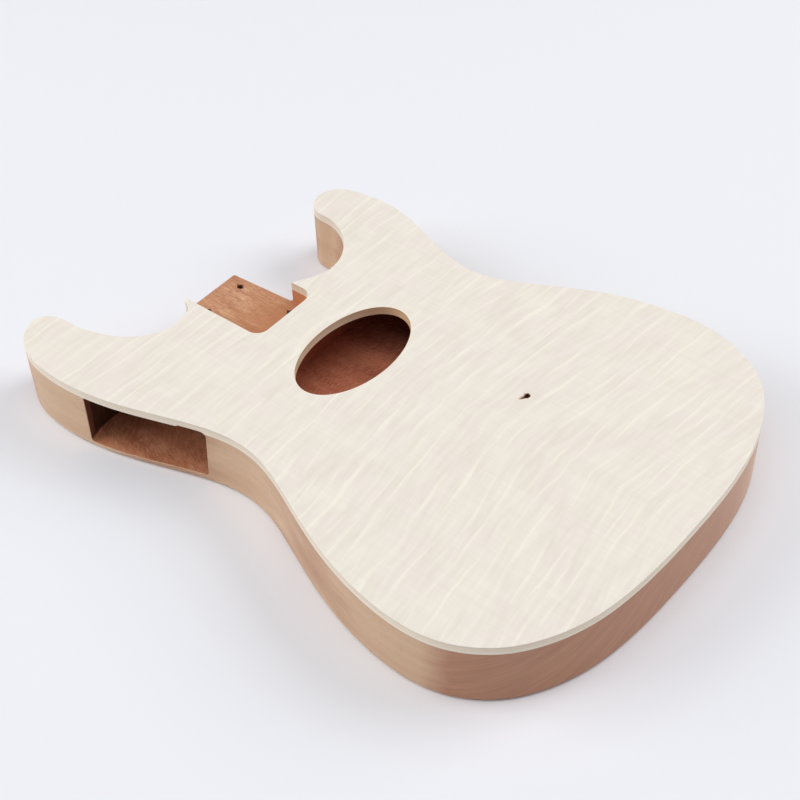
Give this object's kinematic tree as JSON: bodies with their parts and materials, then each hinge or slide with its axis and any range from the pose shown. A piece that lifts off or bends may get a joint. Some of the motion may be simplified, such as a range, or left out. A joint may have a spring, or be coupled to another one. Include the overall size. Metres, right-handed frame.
{
  "type": "guitar body",
  "caption": "Chambered double-cutaway guitar body in bare wood, with a bookmatched flamed maple face, oval sound hole, neck pocket and side preamp cut-out.",
  "frame": {"origin": "on the flat back, on the centreline, halfway between the butt and the bass horn tip", "axes": "+X toward the treble side, +Y along the centreline toward the neck, +Z from the back to the face"},
  "size_m": [0.32, 0.4555, 0.051],
  "materials": {
    "flamed_maple_face": "bare, sanded",
    "maple_cap": "bare, sanded edge",
    "mahogany_core": "bare, sanded outside, milled inside",
    "bridge_plate_maple": "bare"
  },
  "bodies": {
    "root": {"face_veneer_bass": "flamed_maple_face", "face_veneer_treble": "flamed_maple_face", "maple_cap_bass": "maple_cap", "maple_cap_treble": "maple_cap", "core_board_bass": "mahogany_core", "core_board_centre": "mahogany_core", "core_board_treble": "mahogany_core", "bridge_plate": "bridge_plate_maple"}
  },
  "joints": []
}
